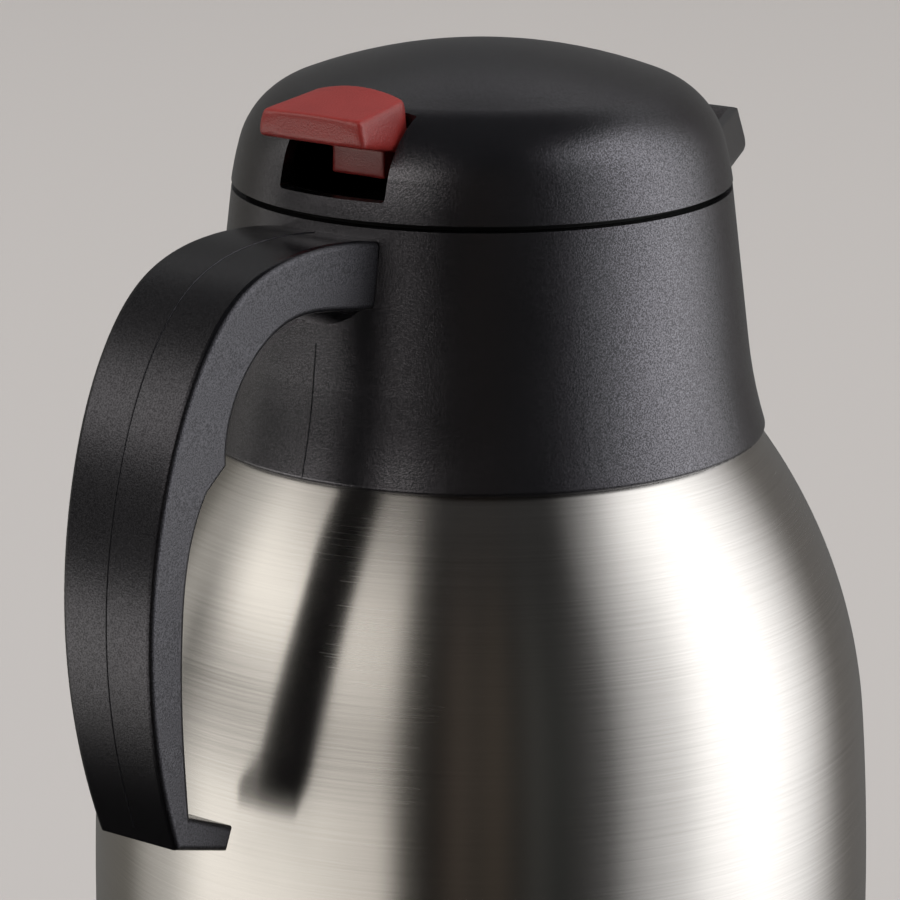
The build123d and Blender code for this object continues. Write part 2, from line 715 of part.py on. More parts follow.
with BuildPart() as lid_dome:
    add(dome_section(0, dome_base_z))
    revolve(axis=Axis.Z)
    add(dome_section(dome_wall, dome_base_z))
    revolve(axis=Axis.Z, mode=Mode.SUBTRACT)
    add(lid_bosses.part)
    # window for the thumb lever
    with BuildSketch(Plane.YZ.offset(-window_inner_x)) as window:
        with Locations((0, seam_z + window_sill)):
            Rectangle(2 * window_half_w, far, align=(Align.CENTER, Align.MIN))
        fillet(window.vertices().group_by(Axis.Y)[0], window_corner_r)
    extrude(amount=-far, mode=Mode.SUBTRACT)
    with Locations((0, 0, deck_top_z)):
        with Locations(lid_screw_places.locations):
            Cylinder(lid_screw_r, lid_screw_length, align=(Align.CENTER, Align.CENTER, Align.MIN),
                     mode=Mode.SUBTRACT)
save(lid_dome, "lid_dome")

with BuildPart() as lid_screws:
    with Locations((0, 0, deck_z)):
        with Locations(lid_screw_places.locations):
            Cylinder(lid_screw_r, lid_screw_length, align=(Align.CENTER, Align.CENTER, Align.MIN))
            Cone(lid_screw_head_r, lid_screw_r, lid_screw_head_r - lid_screw_r,
                 align=(Align.CENTER, Align.CENTER, Align.MIN))
save(lid_screws, "lid_screws")

# ---------------------------------------------------------------- stopper
deck_r = seat_r - 3 * fit_gap
spigot_z = seam_z + spigot_rise
spigot_r = side_radius(dome_wall, spigot_z) - fit_gap
ear_y = lever_half_w + ear_gap
pivot_z = seam_z + pivot_rise
well_floor_z = seam_z - spring_well_drop
gland_z = seam_z - gland_drop
gland_height = well_floor_z - guide_wall - gland_z
guide_r = spring_well_r + guide_wall
groove_base_z = seam_z - lip_drop
groove_top_z = groove_base_z + lip_height
groove_r = plug_r - lip_groove_depth
plug_bore_r = plug_r - plug_wall
plug_floor_z = plug_base_z + plug_wall
port_sill_z = seam_z - port_sill_drop
port_height = deck_z - port_sill_z - port_head

with BuildPart() as stopper_plug:
    # open cup welded under the deck, with a groove for its lip gasket
    with BuildSketch(profile_plane):
        with BuildLine():
            Polyline(
                (valve_seat_r, plug_base_z), (plug_r, plug_base_z), (plug_r, groove_base_z),
                (groove_r, groove_base_z), (groove_r, groove_top_z), (plug_r, groove_top_z),
                (plug_r, deck_z), (plug_bore_r, deck_z), (plug_bore_r, plug_floor_z),
                (valve_seat_r, plug_floor_z), close=True,
            )
        make_face()
    revolve(axis=Axis.Z)
    # pouring ports
    with Locations((0, 0, port_sill_z)):
        with PolarLocations(plug_bore_r, port_count):
            Box(3 * plug_wall, port_width, port_height, align=(Align.CENTER, Align.CENTER, Align.MIN),
                mode=Mode.SUBTRACT)
save(stopper_plug, "stopper_plug")

with BuildPart() as stopper_deck:
    with Locations((0, 0, deck_z)):
        Cylinder(deck_r, deck_wall, align=(Align.CENTER, Align.CENTER, Align.MIN))
    # spigot that centres the lid cover
    with BuildSketch(Plane.XY.offset(deck_top_z)):
        Circle(spigot_r)
        Circle(spigot_r - spigot_wall, mode=Mode.SUBTRACT)
    extrude(amount=spigot_z - deck_top_z)
    # ears that carry the lever's pin
    with BuildSketch(Plane.XZ.offset(ear_y)):
        with Locations((pivot_x, pivot_z)):
            Circle(pivot_eye_r)
        with BuildLine():
            Polyline(
                (pivot_x - pivot_eye_r, pivot_z), (pivot_x + pivot_eye_r, pivot_z),
                (pivot_x + pivot_eye_r + ear_spread, deck_z),
                (pivot_x - pivot_eye_r - ear_spread, deck_z), close=True,
            )
        make_face()
    ear = extrude(amount=ear_wall)
    mirror(ear, about=Plane.XZ)
    with Locations(Location((pivot_x, 0, pivot_z), (90, 0, 0))):
        Cylinder(pivot_pin_r, far, mode=Mode.SUBTRACT)
    # guide tube: the spring's well above, the rod seal's gland below
    with Locations((0, 0, deck_top_z)):
        Cylinder(guide_r, deck_top_z - gland_z + gland_wall,
                 align=(Align.CENTER, Align.CENTER, Align.MAX))
    with Locations((0, 0, well_floor_z)):
        Cylinder(spring_well_r, far, align=(Align.CENTER, Align.CENTER, Align.MIN), mode=Mode.SUBTRACT)
        Cylinder(rod_r + shaft_clearance, far, mode=Mode.SUBTRACT)
    with Locations((0, 0, gland_z)):
        Cylinder(gland_r, gland_height, align=(Align.CENTER, Align.CENTER, Align.MIN),
                 mode=Mode.SUBTRACT)
    # countersunk holes for the cover's screws
    with Locations(Location((0, 0, deck_z), (180, 0, 0))):
        with Locations(lid_screw_places.locations):
            CounterSinkHole(lid_screw_r, lid_screw_head_r, depth=2 * deck_wall, counter_sink_angle=90)
save(stopper_deck, "stopper_deck")

with BuildPart() as deck_seal:
    with BuildSketch(Plane.XY.offset(deck_z)):
        Circle(deck_seal_r)
        Circle(deck_seal_r - deck_seal_width, mode=Mode.SUBTRACT)
    extrude(amount=-deck_seal_height)
save(deck_seal, "deck_seal")

with BuildPart() as stopper_gasket:
    # sleeve in the plug's groove with two lips that wipe the steel neck
    with BuildSketch(profile_plane):
        with BuildLine():
            Polyline((groove_r, groove_base_z), (groove_r, groove_top_z), (plug_r, groove_top_z),
                     (plug_r, groove_base_z), close=True)
        make_face()
        low_lip_z = groove_base_z + lip_height / 4
        top_lip_z = groove_top_z - lip_height / 4
        with Locations((groove_r, low_lip_z), (groove_r, top_lip_z)):
            Rectangle(lip_reach_r - groove_r, lip_thickness, align=(Align.MIN, Align.CENTER))
    revolve(axis=Axis.Z)
save(stopper_gasket, "stopper_gasket")

seal_wire_r = (gland_r - rod_r - shaft_clearance) / 2
with BuildPart() as rod_seal:
    with Locations((0, 0, gland_z + gland_height / 2)):
        Torus(gland_r - seal_wire_r, seal_wire_r)
save(rod_seal, "rod_seal")

with BuildPart() as lever_pin:
    with Locations(Location((pivot_x, 0, pivot_z), (90, 0, 0))):
        Cylinder(pivot_pin_r, 2 * (ear_y + ear_wall + pin_stub))
    chamfer(lever_pin.edges().filter_by(GeomType.CIRCLE), pin_chamfer)
save(lever_pin, "lever_pin")

# ---------------------------------------------------------------- valve
cap_top_z = seam_z + cap_rise
cap_base_z = cap_top_z - cap_thickness
rod_tip_z = seam_z - rod_tip_drop
valve_gasket_top_z = plug_base_z - rest_gap
valve_plate_top_z = valve_gasket_top_z - valve_gasket_height
clip_top_z = valve_plate_top_z - valve_plate_height
clip_seat_r = rod_r - clip_depth

with BuildPart() as valve_rod:
    with Locations((0, 0, rod_tip_z)):
        Cylinder(rod_r, cap_base_z - rod_tip_z, align=(Align.CENTER, Align.CENTER, Align.MIN))
    chamfer(valve_rod.edges().group_by(Axis.Z)[0], clip_depth)
    with BuildSketch(Plane.XY.offset(clip_top_z)):
        Circle(rod_r)
        Circle(clip_seat_r, mode=Mode.SUBTRACT)
    extrude(amount=-clip_thickness, mode=Mode.SUBTRACT)
save(valve_rod, "valve_rod")

with BuildPart() as push_cap:
    with Locations((0, 0, cap_top_z)):
        Cylinder(cap_r, cap_thickness, align=(Align.CENTER, Align.CENTER, Align.MAX))
    fillet(push_cap.edges().group_by(Axis.Z)[-1], cap_thickness / 3)
    with BuildSketch(Plane.XY.offset(cap_base_z)):
        Circle(cap_hub_r)
        Circle(rod_r, mode=Mode.SUBTRACT)
    extrude(amount=-cap_hub_length)
save(push_cap, "push_cap")

with BuildPart() as valve_gasket:
    with BuildSketch(Plane.XY.offset(valve_plate_top_z)):
        Circle(valve_gasket_r)
        Circle(rod_r, mode=Mode.SUBTRACT)
    extrude(amount=valve_gasket_height)
    rims = valve_gasket.edges().filter_by(GeomType.CIRCLE).group_by(SortBy.RADIUS)[-1]
    fillet(rims, valve_gasket_height / 3)
save(valve_gasket, "valve_gasket")

with BuildPart() as valve_plate:
    with BuildSketch(Plane.XY.offset(clip_top_z)):
        Circle(valve_plate_r)
        Circle(rod_r, mode=Mode.SUBTRACT)
    extrude(amount=valve_plate_height)
    rim = valve_plate.edges().group_by(Axis.Z)[0].sort_by(SortBy.RADIUS)[-1]
    fillet(rim, valve_plate_height / 2)
save(valve_plate, "valve_plate")

with BuildPart() as rod_clip:
    with BuildSketch(Plane.XY.offset(clip_top_z)):
        Circle(clip_r)
        Circle(clip_seat_r, mode=Mode.SUBTRACT)
        with Locations((clip_r, 0)):
            Rectangle(2 * clip_r, 2 * clip_seat_r - clip_depth, mode=Mode.SUBTRACT)
    extrude(amount=-clip_thickness)
save(rod_clip, "rod_clip")

spring_base_z = well_floor_z + spring_wire / 2
spring_height = cap_base_z - spring_wire / 2 - spring_base_z
with BuildPart() as valve_spring:
    with BuildLine() as coil:
        Helix(spring_height / spring_turns, spring_height, spring_r, center=(0, 0, spring_base_z))
    with BuildSketch(Plane(origin=coil.line @ 0, z_dir=coil.line % 0)):
        RegularPolygon(spring_wire / 2, spring_wire_sides)
    sweep(path=coil.line, is_frenet=True)
save(valve_spring, "valve_spring")

# ---------------------------------------------------------------- thumb lever
lever_low_z = seam_z + lever_low_rise
lever_height = lever_high_rise - lever_low_rise


def pad_end(x, half_w, low_rise, high_rise, crown):
    """Cross-section of the thumb pad, its top bowed upwards by crown."""
    edge_z = seam_z + high_rise - crown
    with BuildSketch(Plane.YZ.offset(-x)) as end:
        with BuildLine():
            ThreePointArc((-half_w, edge_z), (0, edge_z + crown), (half_w, edge_z))
            Polyline((half_w, edge_z), (half_w, seam_z + low_rise), (-half_w, seam_z + low_rise),
                     (-half_w, edge_z))
        make_face()
    return end.sketch


with BuildPart() as thumb_lever:
    add(pad_end(pad_outer_x, pad_half_w_outer, pad_low_rise_outer, pad_outer_rise, pad_crown_outer))
    add(pad_end(pad_inner_x, pad_half_w_inner, pad_low_rise, pad_inner_rise, pad_crown_inner))
    loft()
    fillet(thumb_lever.edges(), pad_round)
    # stem down through the window
    with Locations((-stem_inner_x, 0, seam_z + stem_low_rise)):
        Box(stem_outer_x - stem_inner_x, 2 * stem_half_w, stem_high_rise - stem_low_rise,
            align=(Align.MAX, Align.CENTER, Align.MIN))
    # arm under the cover, with its eye at the far end and the nose over the valve
    with Locations((pivot_x, 0, lever_low_z)):
        Box(pivot_x + stem_inner_x, 2 * lever_half_w, lever_height,
            align=(Align.MAX, Align.CENTER, Align.MIN))
    with Locations(Location((0, 0, cap_top_z + nose_gap + nose_r), (90, 0, 0))):
        Cylinder(nose_r, 2 * lever_half_w)
    with Locations(Location((pivot_x, 0, pivot_z), (90, 0, 0))):
        Cylinder(pivot_eye_r, 2 * lever_half_w)
        Cylinder(pivot_pin_r + shaft_clearance, far, mode=Mode.SUBTRACT)
save(thumb_lever, "thumb_lever")
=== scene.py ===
from math import asin, cos, pi, radians, sin, sqrt

import bmesh
import bpy
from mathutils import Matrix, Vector


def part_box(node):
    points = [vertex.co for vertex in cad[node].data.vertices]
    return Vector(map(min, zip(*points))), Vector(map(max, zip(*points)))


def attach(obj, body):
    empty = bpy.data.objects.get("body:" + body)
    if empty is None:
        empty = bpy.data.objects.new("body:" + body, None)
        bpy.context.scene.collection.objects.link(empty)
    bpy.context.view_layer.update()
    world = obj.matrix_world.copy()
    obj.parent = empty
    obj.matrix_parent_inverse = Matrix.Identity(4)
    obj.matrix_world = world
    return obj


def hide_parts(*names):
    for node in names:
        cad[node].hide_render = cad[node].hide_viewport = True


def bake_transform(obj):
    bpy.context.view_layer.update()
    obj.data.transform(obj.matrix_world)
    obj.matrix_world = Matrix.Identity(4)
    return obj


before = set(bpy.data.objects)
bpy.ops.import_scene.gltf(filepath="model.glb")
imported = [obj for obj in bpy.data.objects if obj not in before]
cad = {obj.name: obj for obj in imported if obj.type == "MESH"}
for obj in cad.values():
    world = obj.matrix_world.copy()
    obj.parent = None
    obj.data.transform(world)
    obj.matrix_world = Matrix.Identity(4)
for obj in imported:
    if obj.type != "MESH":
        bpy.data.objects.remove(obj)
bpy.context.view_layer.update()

# ---------------------------------------------------------------- foot ring
# A ring of thermoplastic rubber clipped under the body. It is moulded in a lightly
# blasted tool, so it is dull, nearly black and shows a fine even grain.


def linear(hex_colour):
    """sRGB hex such as "#1c1c1e" to a linear colour."""
    parts = [int(hex_colour[i:i + 2], 16) / 255 for i in (1, 3, 5)]
    return [p / 12.92 if p <= 0.04045 else ((p + 0.055) / 1.055) ** 2.4 for p in parts] + [1.0]


def node(tree, kind, values=None, links=None, **settings):
    """Add one node with its settings, its socket values and the links into it."""
    made = tree.nodes.new(kind)
    for key, value in settings.items():
        setattr(made, key, value)
    for key, value in (values or {}).items():
        made.inputs[key].default_value = value
    for key, source in (links or {}).items():
        tree.links.new(source, made.inputs[key])
    return made


def new_material(name):
    """An empty node material and its tree."""
    made = bpy.data.materials.new(name)
    made.use_nodes = True
    made.node_tree.nodes.clear()
    return made, made.node_tree


def dress(name, finish):
    """A CAD node keeps its own mesh and gets this finish."""
    cad[name].data.materials.clear()
    cad[name].data.materials.append(finish)


rubber = linear("#1a1a1b")
rubber_bloom = linear("#242322")
rubber_patch = 0.012
rubber_grain = 0.0005

# Moulded TPE: soft patches of bloom, and a grain that stops it from shining.
moulded_rubber, tree = new_material("tpe_moulded_matt")
place = node(tree, "ShaderNodeTexCoord")
patches = node(tree, "ShaderNodeTexNoise", {"Scale": 1 / rubber_patch, "Detail": 3.0},
               {"Vector": place.outputs["Object"]})
tint = node(tree, "ShaderNodeMixRGB", {"Color1": rubber, "Color2": rubber_bloom},
            {"Fac": patches.outputs["Fac"]})
grain = node(tree, "ShaderNodeTexNoise", {"Scale": 1 / rubber_grain, "Detail": 1.0},
             {"Vector": place.outputs["Object"]})
bump = node(tree, "ShaderNodeBump", {"Strength": 0.4, "Distance": 0.0001},
            {"Height": grain.outputs["Fac"]})
skin = node(tree, "ShaderNodeBsdfPrincipled", {"Roughness": 0.7, "IOR": 1.5},
            {"Base Color": tint.outputs["Color"], "Normal": bump.outputs["Normal"]})
node(tree, "ShaderNodeOutputMaterial", links={"Surface": skin.outputs["BSDF"]})
dress("foot_ring", moulded_rubber)

# ---------------------------------------------------------------- base plate, vacuum cap and liner
# Pressed stainless sheet, left as it comes from the press and the passivating bath. The
# four pressings of the liner are seam welded; the cap closes the hole the air was drawn from.
drawn_steel = linear("#c6c4c1")
drawn_steel_worn = linear("#b9b6b2")
draw_mark_pitch = 0.0012     # finer in the real sheet; drawn coarser to show
draw_mark_length = 0.04
bath_patch = 0.025

# Drawn steel: satin, with faint marks along the draw and slow changes of shine.
drawn, tree = new_material("stainless_steel_drawn_satin")
place = node(tree, "ShaderNodeTexCoord")
stretch = node(tree, "ShaderNodeMapping",
               {"Scale": (1 / draw_mark_pitch, 1 / draw_mark_pitch, 1 / draw_mark_length)},
               {"Vector": place.outputs["Object"]})
marks = node(tree, "ShaderNodeTexNoise", {"Scale": 1.0, "Detail": 3.0},
             {"Vector": stretch.outputs["Vector"]})
clouds = node(tree, "ShaderNodeTexNoise", {"Scale": 1 / bath_patch, "Detail": 2.0},
              {"Vector": place.outputs["Object"]})
tint = node(tree, "ShaderNodeMixRGB", {"Color1": drawn_steel, "Color2": drawn_steel_worn},
            {"Fac": clouds.outputs["Fac"]})
shine = node(tree, "ShaderNodeMapRange", {"To Min": 0.24, "To Max": 0.4},
             {"Value": marks.outputs["Fac"]})
bump = node(tree, "ShaderNodeBump", {"Strength": 0.15, "Distance": 0.00005},
            {"Height": marks.outputs["Fac"]})
skin = node(tree, "ShaderNodeBsdfPrincipled", {"Metallic": 1.0},
            {"Base Color": tint.outputs["Color"], "Roughness": shine.outputs["Result"],
             "Normal": bump.outputs["Normal"]})
node(tree, "ShaderNodeOutputMaterial", links={"Surface": skin.outputs["BSDF"]})
for name in ("base_plate", "vacuum_cap", "liner_floor", "inner_liner", "liner_shoulder",
             "liner_neck"):
    dress(name, drawn)

# ---------------------------------------------------------------- outer wall
# A stainless steel barrel and shoulder, welded edge to edge and then brushed in a lathe
# until the weld is gone. The brush lines run around the body and smear light up and down.
body_r = 0.0756
widest_z = 0.082
barrel_arc_r = 0.514
shoulder_start_z = 0.1215
shoulder_arc_r = 0.105597
shoulder_axis = (-0.0312048, 0.113385)  # radius and height of its arc's centre
wall_foot_z = 0.0016
wall_foot_round = 0.0055
wall_opening_r = 0.0557
wall_neck_r = 0.0365
wall_neck_bend = 0.0035
wall_mouth_z = 0.201
wall_thickness = 0.0008
wall_steps = 256             # facets around the body
foot_steps = 10              # and along each arc of the section
barrel_steps = 40
shoulder_steps = 48
neck_steps = 8


def finish_mesh(name, mesh, finish):
    """Turn a built mesh into an object with its finish, smooth but for its sharp edges."""
    data = bpy.data.meshes.new(name)
    mesh.to_mesh(data)
    mesh.free()
    data.shade_smooth()
    data.set_sharp_from_angle(angle=radians(40))
    made = bpy.data.objects.new(name, data)
    bpy.context.scene.collection.objects.link(made)
    made.data.materials.append(finish)
    return made


def join_rings(mesh, pairs):
    """Join each pair of rings of vertices with a band of faces."""
    for low, high in pairs:
        for k in range(len(low)):
            after = (k + 1) % len(low)
            mesh.faces.new([low[k], low[after], high[after], high[k]])


def lathe(name, outline, steps, finish):
    """Turn a closed half section, a list of (radius, height), about the body's axis."""
    mesh = bmesh.new()
    turns = [2 * pi * i / steps for i in range(steps)]
    rings = [[mesh.verts.new((radius * cos(turn), radius * sin(turn), height)) for turn in turns]
             for radius, height in outline]
    join_rings(mesh, zip(rings, rings[1:] + rings[:1]))
    bmesh.ops.recalc_face_normals(mesh, faces=mesh.faces)
    return finish_mesh(name, mesh, finish)


def arc(centre, radius, start, end, steps):
    """Points of a circular arc between two angles in degrees."""
    turns = [radians(start + (end - start) * i / steps) for i in range(steps + 1)]
    return [(centre[0] + radius * cos(turn), centre[1] + radius * sin(turn)) for turn in turns]


def degrees_of(x, y):
    """The angle of a direction, in degrees, for directions that point outwards."""
    return asin(y / sqrt(x * x + y * y)) * 180 / pi


def wall_section(inset):
    """One side of the wall, from the foot's opening up to the mouth."""
    foot_z = wall_foot_z + inset
    bend = wall_foot_round - inset
    barrel_x = body_r - barrel_arc_r
    # the bend at the foot touches both the floor and the barrel arc from inside
    bend_z = foot_z + bend
    bend_x = barrel_x + sqrt((barrel_arc_r - inset - bend) ** 2 - (bend_z - widest_z) ** 2)
    bend_end = degrees_of(bend_x - barrel_x, bend_z - widest_z)
    # the barrel's arc ends where the shoulder's begins
    joint_z = shoulder_start_z - widest_z
    joint = degrees_of(sqrt(barrel_arc_r ** 2 - joint_z ** 2), joint_z)
    section = [(wall_opening_r, foot_z)]
    section += arc((bend_x, bend_z), bend, -90, bend_end, foot_steps)
    section += arc((barrel_x, widest_z), barrel_arc_r - inset, bend_end, joint, barrel_steps)[1:]
    # the shoulder runs into the neck through a hollow bend
    neck = wall_neck_r - inset
    hollow = wall_neck_bend + inset
    hollow_x = neck + hollow
    reach = shoulder_arc_r - inset + hollow
    hollow_z = shoulder_axis[1] + sqrt(reach ** 2 - (hollow_x - shoulder_axis[0]) ** 2)
    turn = degrees_of(hollow_x - shoulder_axis[0], hollow_z - shoulder_axis[1])
    section += arc(shoulder_axis, shoulder_arc_r - inset, joint, turn, shoulder_steps)[1:]
    section += arc((hollow_x, hollow_z), hollow, turn + 180, 180, neck_steps)[1:]
    section.append((neck, wall_mouth_z))
    return section


steel = linear("#ccc9c6")
steel_dull = linear("#aba8a4")
brush_pitch = 0.0003         # real lines are about 0.1 mm apart; drawn coarser to show
brush_length = 0.05
handling_patch = 0.05

# Brushed stainless: bright along the body's curve, blurred upwards, with fine lines that
# vary in shine and slow clouds where hands have dulled it.
brushed, tree = new_material("stainless_steel_brushed_round")
place = node(tree, "ShaderNodeTexCoord")
around = node(tree, "ShaderNodeTangent", direction_type="RADIAL", axis="Z")
stretch = node(tree, "ShaderNodeMapping",
               {"Scale": (1 / brush_length, 1 / brush_length, 1 / brush_pitch)},
               {"Vector": place.outputs["Object"]})
lines = node(tree, "ShaderNodeTexNoise", {"Scale": 1.0, "Detail": 4.0, "Roughness": 0.6},
             {"Vector": stretch.outputs["Vector"]})
clouds = node(tree, "ShaderNodeTexNoise", {"Scale": 1 / handling_patch, "Detail": 2.0},
              {"Vector": place.outputs["Object"]})
tint = node(tree, "ShaderNodeMixRGB", {"Color1": steel_dull, "Color2": steel},
            {"Fac": lines.outputs["Fac"]})
shine = node(tree, "ShaderNodeMapRange",
             {"From Min": 0.3, "From Max": 0.7, "To Min": 0.215, "To Max": 0.245},
             {"Value": lines.outputs["Fac"]})
hands = node(tree, "ShaderNodeMapRange",
             {"From Min": 0.4, "From Max": 0.7, "To Min": 0.0, "To Max": 0.04},
             {"Value": clouds.outputs["Fac"]})
rough = node(tree, "ShaderNodeMath",
             links={0: shine.outputs["Result"], 1: hands.outputs["Result"]}, operation="ADD")
bump = node(tree, "ShaderNodeBump", {"Strength": 0.02, "Distance": 0.00001},
            {"Height": lines.outputs["Fac"]})
skin = node(tree, "ShaderNodeBsdfPrincipled",
            {"Metallic": 1.0, "Anisotropic": 0.95, "Anisotropic Rotation": 0.25},
            {"Base Color": tint.outputs["Color"], "Roughness": rough.outputs["Value"],
             "Tangent": around.outputs["Tangent"], "Normal": bump.outputs["Normal"]})
node(tree, "ShaderNodeOutputMaterial", links={"Surface": skin.outputs["BSDF"]})

wall_outline = wall_section(0) + wall_section(wall_thickness)[::-1]
wall = lathe("body_wall", wall_outline, wall_steps, brushed)
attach(wall, "vessel")
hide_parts("outer_shell", "outer_shoulder")

# ---------------------------------------------------------------- mouth gasket and seals
# Silicone rings, compression moulded. They are pale, soft and slightly waxy: light goes a
# little way in, and the surface has no sharp shine.
silicone = linear("#cfcbc3")
silicone_deep = linear("#bdb8ae")
silicone_patch = 0.006

# Moulded silicone: milky, with slow changes of tone.
moulded_silicone, tree = new_material("silicone_moulded_soft")
place = node(tree, "ShaderNodeTexCoord")
clouds = node(tree, "ShaderNodeTexNoise", {"Scale": 1 / silicone_patch, "Detail": 2.0},
              {"Vector": place.outputs["Object"]})
tint = node(tree, "ShaderNodeMixRGB", {"Color1": silicone, "Color2": silicone_deep},
            {"Fac": clouds.outputs["Fac"]})
bump = node(tree, "ShaderNodeBump", {"Strength": 0.1, "Distance": 0.0001},
            {"Height": clouds.outputs["Fac"]})
skin = node(tree, "ShaderNodeBsdfPrincipled",
            {"Roughness": 0.5, "IOR": 1.42, "Subsurface Weight": 0.2, "Subsurface Scale": 0.001},
            {"Base Color": tint.outputs["Color"], "Normal": bump.outputs["Normal"]})
node(tree, "ShaderNodeOutputMaterial", links={"Surface": skin.outputs["BSDF"]})
for name in ("mouth_gasket", "stopper_gasket", "deck_seal", "rod_seal", "valve_gasket"):
    dress(name, moulded_silicone)

# ---------------------------------------------------------------- collar and neck ring
# Black polypropylene mouldings: the collar carries the beak and pushes over the steel neck,
# and the threaded ring holds it down on the mouth.
black = linear("#0a0a0c")
black_worn = linear("#101012")
grain_pitch = 0.00028        # a spark-eroded grain is about 0.2 mm; drawn coarser to show
rub_patch = 0.03

# Moulded PP from a spark-eroded tool: satin, an even grain that breaks each highlight
# into specks, and slow patches where it has been rubbed smoother.
moulded_black, tree = new_material("polypropylene_spark_grain")
place = node(tree, "ShaderNodeTexCoord")
grain = node(tree, "ShaderNodeTexNoise",
             {"Scale": 1 / grain_pitch, "Detail": 1.0, "Roughness": 0.5},
             {"Vector": place.outputs["Object"]})
rubs = node(tree, "ShaderNodeTexNoise", {"Scale": 1 / rub_patch, "Detail": 3.0},
            {"Vector": place.outputs["Object"]})
tint = node(tree, "ShaderNodeMixRGB", {"Color1": black, "Color2": black_worn},
            {"Fac": rubs.outputs["Fac"]})
shine = node(tree, "ShaderNodeMapRange",
             {"From Min": 0.35, "From Max": 0.65, "To Min": 0.2, "To Max": 0.27},
             {"Value": rubs.outputs["Fac"]})
pits = node(tree, "ShaderNodeMapRange",
            {"From Min": 0.36, "From Max": 0.64, "To Min": 0.5, "To Max": 1.3},
            {"Value": grain.outputs["Fac"]})
bump = node(tree, "ShaderNodeBump", {"Strength": 0.5, "Distance": 0.00008},
            {"Height": grain.outputs["Fac"]})
skin = node(tree, "ShaderNodeBsdfPrincipled", {"IOR": 1.5, "Specular Tint": linear("#f7f4ff")},
            {"Base Color": tint.outputs["Color"], "Roughness": shine.outputs["Result"],
             "Specular IOR Level": pits.outputs["Result"],
             "Normal": bump.outputs["Normal"]})
node(tree, "ShaderNodeOutputMaterial", links={"Surface": skin.outputs["BSDF"]})
for name in ("collar", "neck_ring"):
    dress(name, moulded_black)

# The tool's halves meet at the back of the collar and leave a fine raised line.
parting_r = 0.00016
parting_step = 0.001
parting_from_x = -0.2        # well behind the carafe, to look for the surface from


def cast(target, start, direction):
    """Where a line first meets a CAD node, or None."""
    hit, point, _, _ = cad[target].ray_cast(Vector(start), Vector(direction))
    return point if hit else None


def bead(name, points, radius, finish):
    """A fine round bead along a row of points."""
    line = bpy.data.curves.new(name, "CURVE")
    line.dimensions = "3D"
    line.bevel_depth = radius
    line.bevel_resolution = 2
    line.use_fill_caps = True
    run = line.splines.new("POLY")
    run.points.add(len(points) - 1)
    for spot, point in zip(run.points, points):
        spot.co = (*point, 1.0)
    made = bpy.data.objects.new(name, line)
    bpy.context.scene.collection.objects.link(made)
    made.data.materials.append(finish)
    return made


collar_low_z = 0.1776
boss_low_z = 0.2045
back = [cast("collar", (parting_from_x, 0, collar_low_z + i * parting_step), (1, 0, 0))
        for i in range(int((boss_low_z - collar_low_z) / parting_step))]
collar_line = bead("collar_parting_line", [p for p in back if p], parting_r, moulded_black)
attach(collar_line, "vessel")

# ---------------------------------------------------------------- handle
# One black polypropylene moulding on a boss at the back of the collar, held by two screws
# from inside. Its flat flanks keep the tool's grain; the outer face is worn smoother.
# One plastic in two tones: the paler flank black is painted light, the darker face black painted
# shade.
flank_black_painted_light = linear("#121214")
face_black_painted_shade = linear("#09090b")
handle_grain = 0.0003

# Moulded PP with a polished outer face: the flanks scatter light evenly, the face shines.
moulded_handle, tree = new_material("polypropylene_grain_and_polish")
place = node(tree, "ShaderNodeTexCoord")
split = node(tree, "ShaderNodeSeparateXYZ", links={"Vector": place.outputs["Normal"]})
sideways = node(tree, "ShaderNodeMath", links={0: split.outputs["Y"]}, operation="ABSOLUTE")
flank = node(tree, "ShaderNodeMapRange", {"From Min": 0.5, "From Max": 0.85},
             {"Value": sideways.outputs["Value"]})
grain = node(tree, "ShaderNodeTexNoise",
             {"Scale": 1 / handle_grain, "Detail": 1.5, "Roughness": 0.6},
             {"Vector": place.outputs["Object"]})
# Painted light and shade: the flanks take the paler black, the outer face the darker.
tint = node(tree, "ShaderNodeMixRGB", {"Color1": face_black_painted_shade, "Color2": flank_black_painted_light},
            {"Fac": flank.outputs["Result"]})
shine = node(tree, "ShaderNodeMapRange", {"To Min": 0.22, "To Max": 0.36},
             {"Value": flank.outputs["Result"]})
depth = node(tree, "ShaderNodeMapRange", {"To Min": 0.3, "To Max": 1.0},
             {"Value": flank.outputs["Result"]})
bump = node(tree, "ShaderNodeBump", {"Distance": 0.00006},
            {"Height": grain.outputs["Fac"], "Strength": depth.outputs["Result"]})
pits = node(tree, "ShaderNodeMapRange",
            {"From Min": 0.36, "From Max": 0.64, "To Min": 0.35, "To Max": 0.85},
            {"Value": grain.outputs["Fac"]})
# The outer face's shine is cut to 0.65 of the flanks', as painted shade.
worn = node(tree, "ShaderNodeMapRange", {"To Min": 0.65, "To Max": 1.0},
            {"Value": flank.outputs["Result"]})
glint = node(tree, "ShaderNodeMath", links={0: pits.outputs["Result"], 1: worn.outputs["Result"]},
             operation="MULTIPLY")
skin = node(tree, "ShaderNodeBsdfPrincipled", {"IOR": 1.5, "Specular Tint": linear("#f5f3ff")},
            {"Base Color": tint.outputs["Color"], "Roughness": shine.outputs["Result"],
             "Specular IOR Level": glint.outputs["Value"],
             "Normal": bump.outputs["Normal"]})
node(tree, "ShaderNodeOutputMaterial", links={"Surface": skin.outputs["BSDF"]})
for name in ("handle_arm", "handle_cover"):
    dress(name, moulded_handle)

